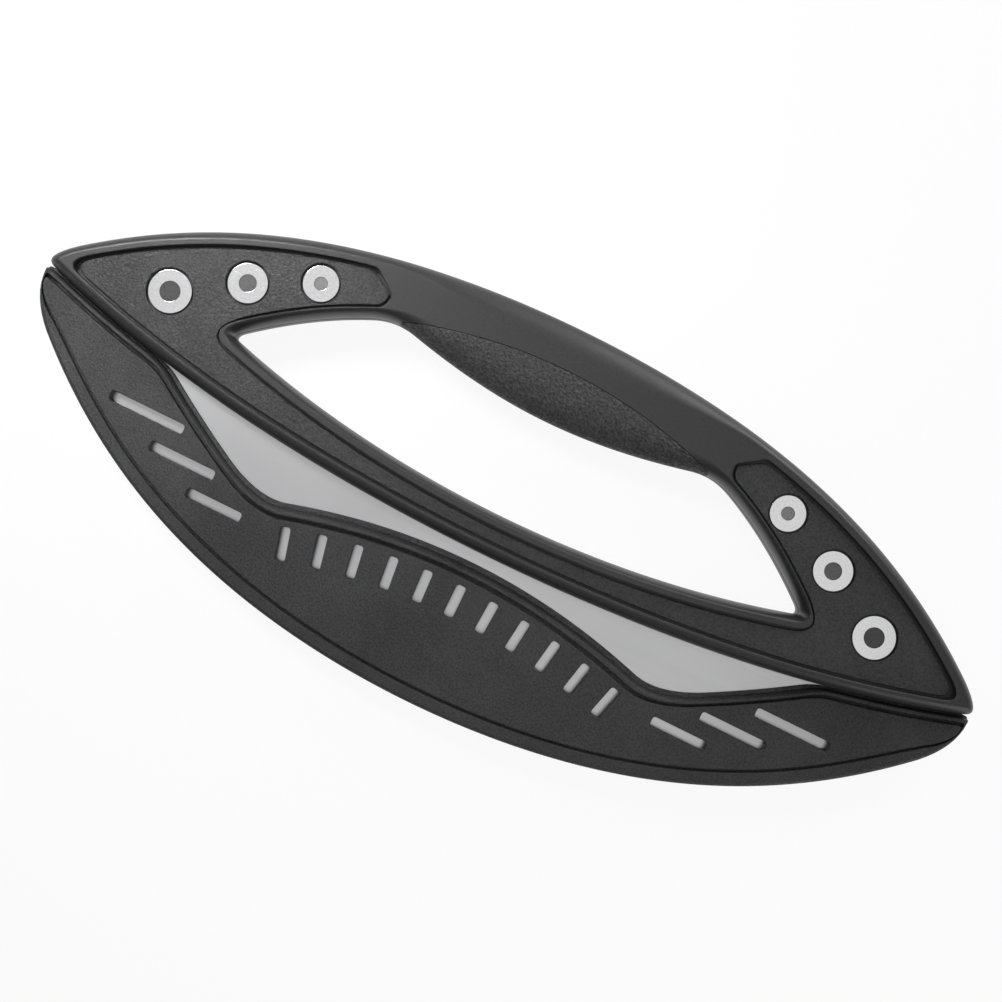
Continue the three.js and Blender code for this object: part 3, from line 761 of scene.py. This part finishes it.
for i in range(VENT_COUNT):
    x = (i - VENT_COUNT // 2) * VENT_PITCH
    lean = math.pi / 2 - math.atan2(x, CREST_RADIUS)
    tools.append(slot_tool(VENT_LENGTH, x, guard_crest(x) - VENT_DROP, lean))
cut(guard, joined(tools))
smoothed(guard)
dressed(guard, moulded, "guard", "guard_plastic", "guard_front")
guard_rear = turned_over(guard, "guard_shell_rear")
dressed(guard_rear, moulded, "guard", "guard_plastic", "guard_rear")


# Studio: a plain white sheet under the tool, a narrow soft box for the upper left, a large one overhead,
# and two low ones at the upper and lower right that light the edges.
# The sheet reads white to the camera and still takes the shadow of the tool.
sheet, sheet_shader = new_material("white_sheet", (0.86, 0.86, 0.86), 0.9)
nodes, links = sheet.node_tree.nodes, sheet.node_tree.links


def seen_rays(tree):
    """The camera's own rays, and the same with mirror rays and rays through clear things added."""
    path = tree.nodes.new("ShaderNodeLightPath")
    seen = path.outputs["Is Camera Ray"]
    for kind in ("Is Glossy Ray", "Is Transmission Ray"):
        larger = tree.nodes.new("ShaderNodeMath")
        larger.operation = "MAXIMUM"
        tree.links.new(seen, larger.inputs[0])
        tree.links.new(path.outputs[kind], larger.inputs[1])
        seen = larger.outputs["Value"]
    return path.outputs["Is Camera Ray"], seen


SHEET_WHITE = 0.92
share = nodes.new("ShaderNodeMath")
share.operation = "MULTIPLY"
share.inputs[1].default_value = SHEET_WHITE
links.new(seen_rays(sheet.node_tree)[1], share.inputs[0])
glow = nodes.new("ShaderNodeEmission")
glow.inputs["Strength"].default_value = 1.0
blend = nodes.new("ShaderNodeMixShader")
links.new(share.outputs["Value"], blend.inputs["Fac"])
links.new(sheet_shader.outputs["BSDF"], blend.inputs[1])
links.new(glow.outputs["Emission"], blend.inputs[2])
links.new(blend.outputs["Shader"], nodes["Material Output"].inputs["Surface"])
bpy.ops.object.select_all(action="DESELECT")
bpy.ops.mesh.primitive_grid_add(x_subdivisions=2, y_subdivisions=2, size=6, location=(0, 0, -0.0002))
floor = bpy.context.object
floor.name = "white_sheet_floor"
floor.data.materials.append(sheet)

world = bpy.data.worlds.new("studio_room")
bpy.context.scene.world = world
world.use_nodes = True
room = world.node_tree
room_light = room.nodes["Background"]
room_light.inputs["Color"].default_value = (1, 1, 1, 1)
room_light.inputs["Strength"].default_value = 0.08
ROOM_MIRRORED = 0.4
camera_rays, all_seen = seen_rays(room)
room_white = room.nodes.new("ShaderNodeBackground")
room_white.inputs["Color"].default_value = (1, 1, 1, 1)
room_level = room.nodes.new("ShaderNodeMath")
room_level.operation = "MULTIPLY_ADD"
room_level.inputs[1].default_value = 1 - ROOM_MIRRORED
room_level.inputs[2].default_value = ROOM_MIRRORED
room.links.new(camera_rays, room_level.inputs[0])
room.links.new(room_level.outputs["Value"], room_white.inputs["Strength"])
room_mix = room.nodes.new("ShaderNodeMixShader")
room.links.new(all_seen, room_mix.inputs["Fac"])
room.links.new(room_light.outputs["Background"], room_mix.inputs[1])
room.links.new(room_white.outputs["Background"], room_mix.inputs[2])
room.links.new(room_mix.outputs["Shader"], room.nodes["World Output"].inputs["Surface"])


def soft_box(name, place, target, size, power, spread=180):
    """A round soft lamp that points at its target."""
    lamp = bpy.data.lights.new(name, "AREA")
    lamp.shape = "DISK"
    lamp.size = size
    lamp.energy = power
    lamp.spread = math.radians(spread)
    box = bpy.data.objects.new(name, lamp)
    bpy.context.scene.collection.objects.link(box)
    box.location = place
    aim = Vector(target) - Vector(place)
    box.rotation_euler = aim.to_track_quat("-Z", "Y").to_euler()


soft_box("key_soft_box", (-0.37, 0.23, 0.42), (-0.155, 0.095, 0.01), 0.2, 0.42, 46)
soft_box("overhead_soft_box", (0, 0, 1.2), (0, 0, 0), 1.2, 3.55)
soft_box("back_soft_box", (0.22, 0.62, 0.22), (0, 0, 0), 0.5, 3.6)
soft_box("side_soft_box", (0.55, -0.37, 0.2), (0, 0, 0), 0.5, 1.4)


# Camera: straight above the tool, turned so that the tool lies aslant in the picture.
# It stands 0.44 m over the sheet with a normal lens, which gives the slight perspective of the slots.
camera = bpy.data.cameras.new("camera_above")
camera.sensor_width = 36
camera.lens = 47.85
view = bpy.data.objects.new("camera_above", camera)
bpy.context.scene.collection.objects.link(view)
view.location = (-0.0009, 0.0052, 0.44)
view.rotation_euler = (0, 0, math.radians(26.2))
bpy.context.scene.camera = view
bpy.context.scene.view_settings.view_transform = "Standard"
